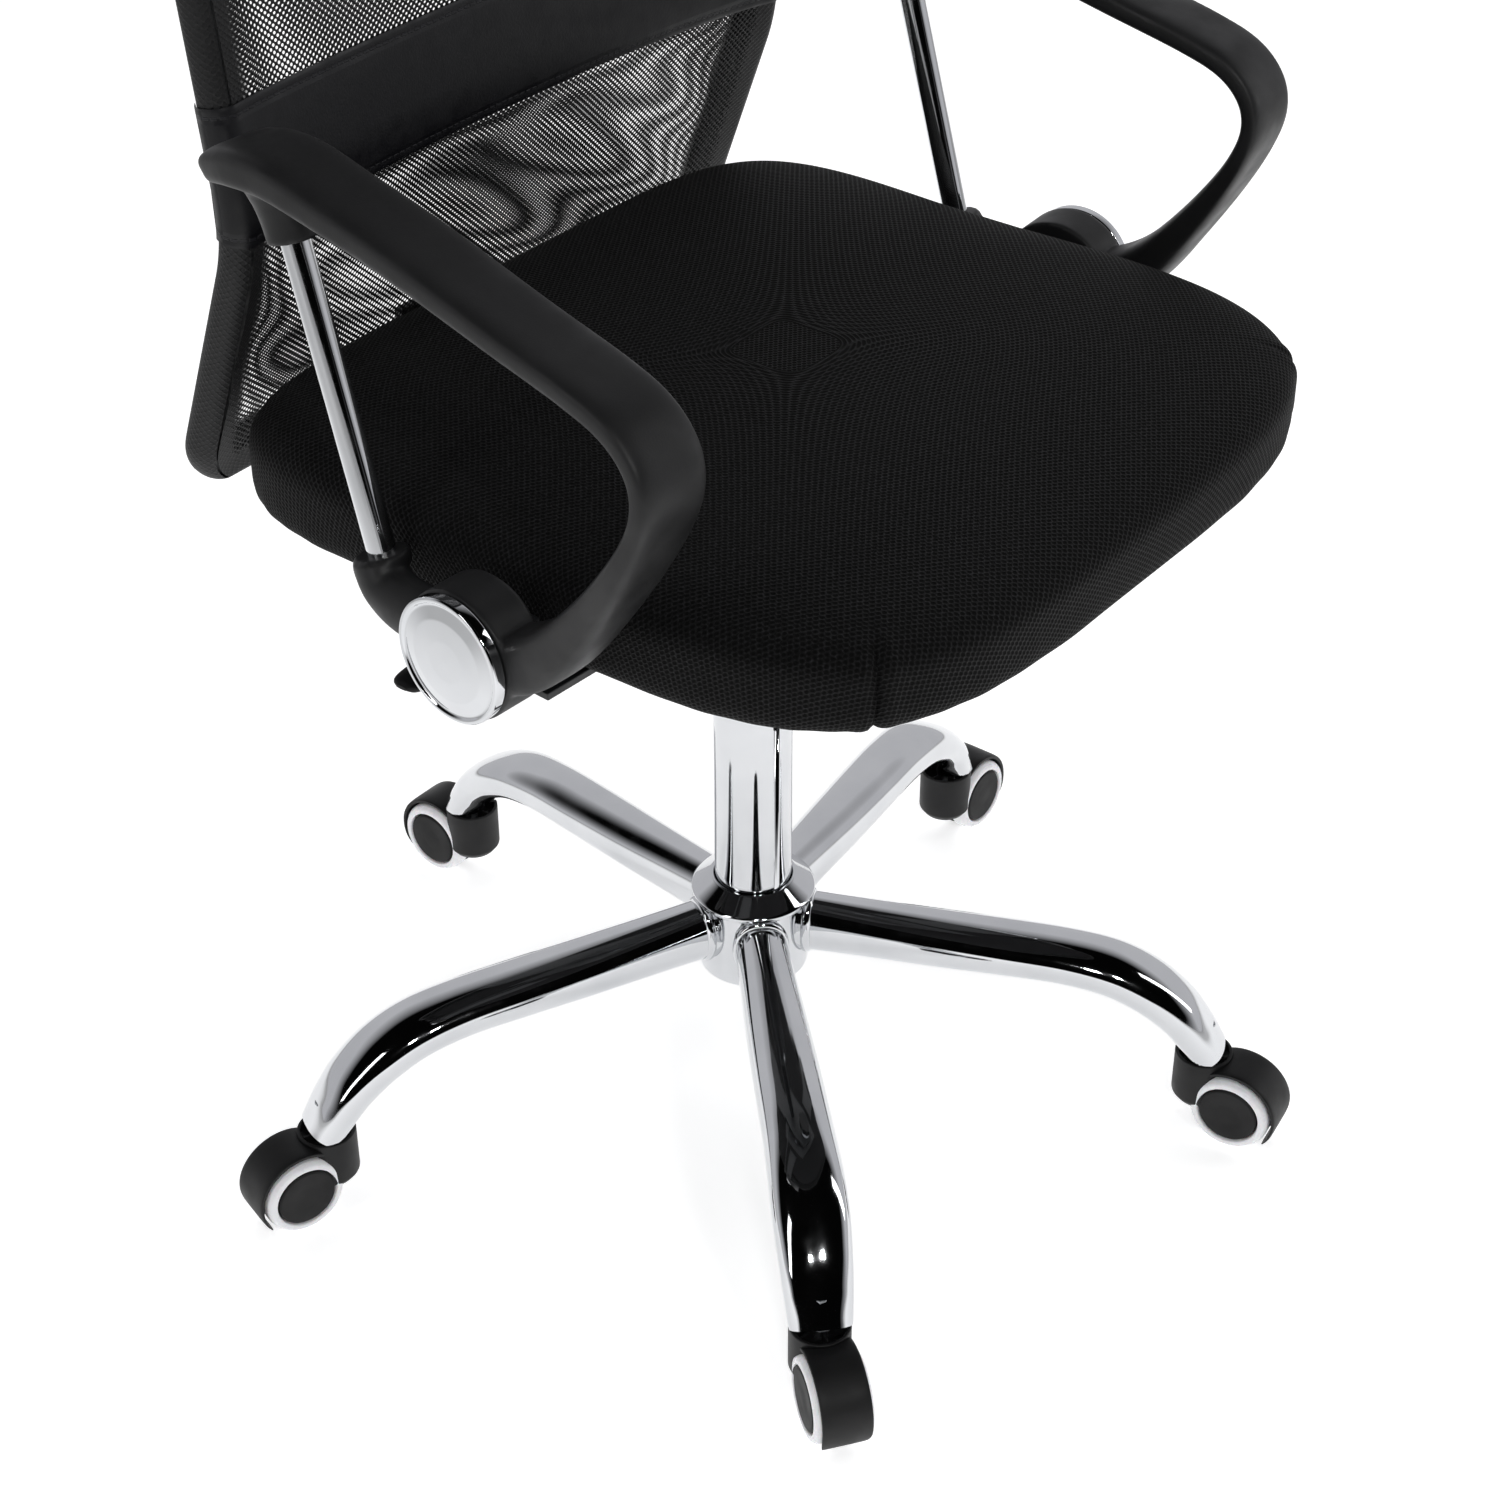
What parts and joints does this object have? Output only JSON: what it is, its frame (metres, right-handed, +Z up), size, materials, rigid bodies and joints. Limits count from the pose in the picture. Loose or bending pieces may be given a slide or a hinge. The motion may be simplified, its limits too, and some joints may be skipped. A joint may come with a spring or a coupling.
{
  "type": "swivel office chair",
  "caption": "High-back swivel office chair: mesh back on a bent tube frame, padded mesh seat, loop armrests with chrome struts, chrome star base on twin-wheel casters.",
  "frame": {"origin": "On the floor, under the column's axis.", "axes": "+Z is up, -Y is the way the chair faces, and -X is the occupant's right."},
  "size_m": [0.6817, 0.6804, 1.1554],
  "materials": {
    "chrome": "polished chrome plate",
    "black_steel": "satin black powder coat",
    "zinc_steel": "zinc-plated steel",
    "black_plastic": "moulded black nylon",
    "arm_plastic": "moulded black plastic with a fine grain",
    "pale_tyre": "glossy off-white polyurethane",
    "seat_fabric": "thick black spacer-mesh fabric",
    "back_mesh_fabric": "open black mesh cloth",
    "black_leather": "smooth black coated leather",
    "dust_cover": "moulded plywood under a stapled black dust cover"
  },
  "bodies": {
    "base": {"five_star_base": "chrome", "hub_cover_ring": "chrome", "column_tube": "chrome", "column_bush": "black_plastic", "caster_stem_1": "zinc_steel", "caster_stem_2": "zinc_steel", "caster_stem_3": "zinc_steel", "caster_stem_4": "zinc_steel", "caster_stem_5": "zinc_steel"},
    "spindle": {"piston_rod": "zinc_steel", "retaining_clip": "zinc_steel"},
    "lift": {"gas_cylinder": "black_steel", "tilt_housing": "black_steel", "tilt_spring": "zinc_steel"},
    "lever_slide": {"lever_pin": "zinc_steel"},
    "lever": {"height_lever": "black_steel", "lever_paddle": "black_plastic"},
    "seat": {"seat_plate": "black_steel", "tilt_pivot_pin": "zinc_steel", "seat_pan": "dust_cover", "seat_cushion": "seat_fabric", "back_bracket": "black_steel", "back_frame": "black_steel", "back_mesh": "back_mesh_fabric", "lumbar_strip": "black_leather", "head_pad": "black_leather", "armrest_left": "arm_plastic", "armrest_right": "arm_plastic", "armrest_tube_left": "chrome", "armrest_tube_right": "chrome", "armrest_cap_left": "chrome", "armrest_cap_right": "chrome", "armrest_stay_left": "black_steel", "armrest_stay_right": "black_steel"},
    "knob": {"tension_knob": "black_plastic"},
    "caster_1": {"caster_hood_1": "black_plastic"},
    "wheels_1": {"wheel_core_left_1": "black_plastic", "wheel_core_right_1": "black_plastic", "tyre_left_1": "pale_tyre", "tyre_right_1": "pale_tyre"},
    "caster_2": {"caster_hood_2": "black_plastic"},
    "wheels_2": {"wheel_core_left_2": "black_plastic", "wheel_core_right_2": "black_plastic", "tyre_left_2": "pale_tyre", "tyre_right_2": "pale_tyre"},
    "caster_3": {"caster_hood_3": "black_plastic"},
    "wheels_3": {"wheel_core_left_3": "black_plastic", "wheel_core_right_3": "black_plastic", "tyre_left_3": "pale_tyre", "tyre_right_3": "pale_tyre"},
    "caster_4": {"caster_hood_4": "black_plastic"},
    "wheels_4": {"wheel_core_left_4": "black_plastic", "wheel_core_right_4": "black_plastic", "tyre_left_4": "pale_tyre", "tyre_right_4": "pale_tyre"},
    "caster_5": {"caster_hood_5": "black_plastic"},
    "wheels_5": {"wheel_core_left_5": "black_plastic", "wheel_core_right_5": "black_plastic", "tyre_left_5": "pale_tyre", "tyre_right_5": "pale_tyre"}
  },
  "joints": [
    {"name": "seat_swivel", "type": "hinge", "parent": "base", "child": "spindle", "pos_m": [0, 0, 0.094], "axis": [0, 0, 1], "continuous": true},
    {"name": "seat_height", "type": "slide", "parent": "spindle", "child": "lift", "axis": [0, 0, 1], "range_m": [-0.1, 0], "stiffness_N_per_m": 400, "springref_m": 0.75},
    {"name": "lever_pull", "type": "slide", "parent": "lift", "child": "lever_slide", "axis": [-1, 0, 0], "range_m": [0, 0.008]},
    {"name": "lever_lift", "type": "hinge", "parent": "lever_slide", "child": "lever", "pos_m": [-0.031, 0.022, 0.44], "axis": [0, 1, 0], "range_deg": [0, 4], "stiffness_Nm_per_rad": 5, "springref_deg": -2.86},
    {"name": "seat_tilt", "type": "hinge", "parent": "lift", "child": "seat", "pos_m": [0, -0.045, 0.458], "axis": [1, 0, 0], "range_deg": [-10, 0], "stiffness_Nm_per_rad": 120, "springref_deg": 11.46, "deforming": ["tilt_spring"]},
    {"name": "tension_turn", "type": "hinge", "parent": "seat", "child": "knob", "pos_m": [0, -0.08, 0.4], "axis": [0, 0, 1], "continuous": true},
    {"name": "caster_swivel_1", "type": "hinge", "parent": "base", "child": "caster_1", "pos_m": [-0.21102, -0.21324, 0.0596], "axis": [0, 0, 1], "continuous": true},
    {"name": "wheel_roll_1", "type": "hinge", "parent": "caster_1", "child": "wheels_1", "pos_m": [-0.2263, -0.23427, 0.027], "axis": [0.809, -0.5878, 0], "continuous": true},
    {"name": "caster_swivel_2", "type": "hinge", "parent": "base", "child": "caster_2", "pos_m": [0.13759, -0.26659, 0.0596], "axis": [0, 0, 1], "continuous": true},
    {"name": "wheel_roll_2", "type": "hinge", "parent": "caster_2", "child": "wheels_2", "pos_m": [0.14166, -0.29226, 0.027], "axis": [0.9877, 0.1564, 0], "continuous": true},
    {"name": "caster_swivel_3", "type": "hinge", "parent": "base", "child": "caster_3", "pos_m": [0.29606, 0.04848, 0.0596], "axis": [0, 0, 1], "continuous": true},
    {"name": "wheel_roll_3", "type": "hinge", "parent": "caster_3", "child": "wheels_3", "pos_m": [0.32206, 0.04848, 0.027], "axis": [0, 1, 0], "continuous": true},
    {"name": "caster_swivel_4", "type": "hinge", "parent": "base", "child": "caster_4", "pos_m": [0.04538, 0.29655, 0.0596], "axis": [0, 0, 1], "continuous": true},
    {"name": "wheel_roll_4", "type": "hinge", "parent": "caster_4", "child": "wheels_4", "pos_m": [0.04538, 0.32255, 0.027], "axis": [-1, 0, 0], "continuous": true},
    {"name": "caster_swivel_5", "type": "hinge", "parent": "base", "child": "caster_5", "pos_m": [-0.26801, 0.1348, 0.0596], "axis": [0, 0, 1], "continuous": true},
    {"name": "wheel_roll_5", "type": "hinge", "parent": "caster_5", "child": "wheels_5", "pos_m": [-0.29287, 0.1424, 0.027], "axis": [-0.2924, -0.9563, 0], "continuous": true}
  ]
}
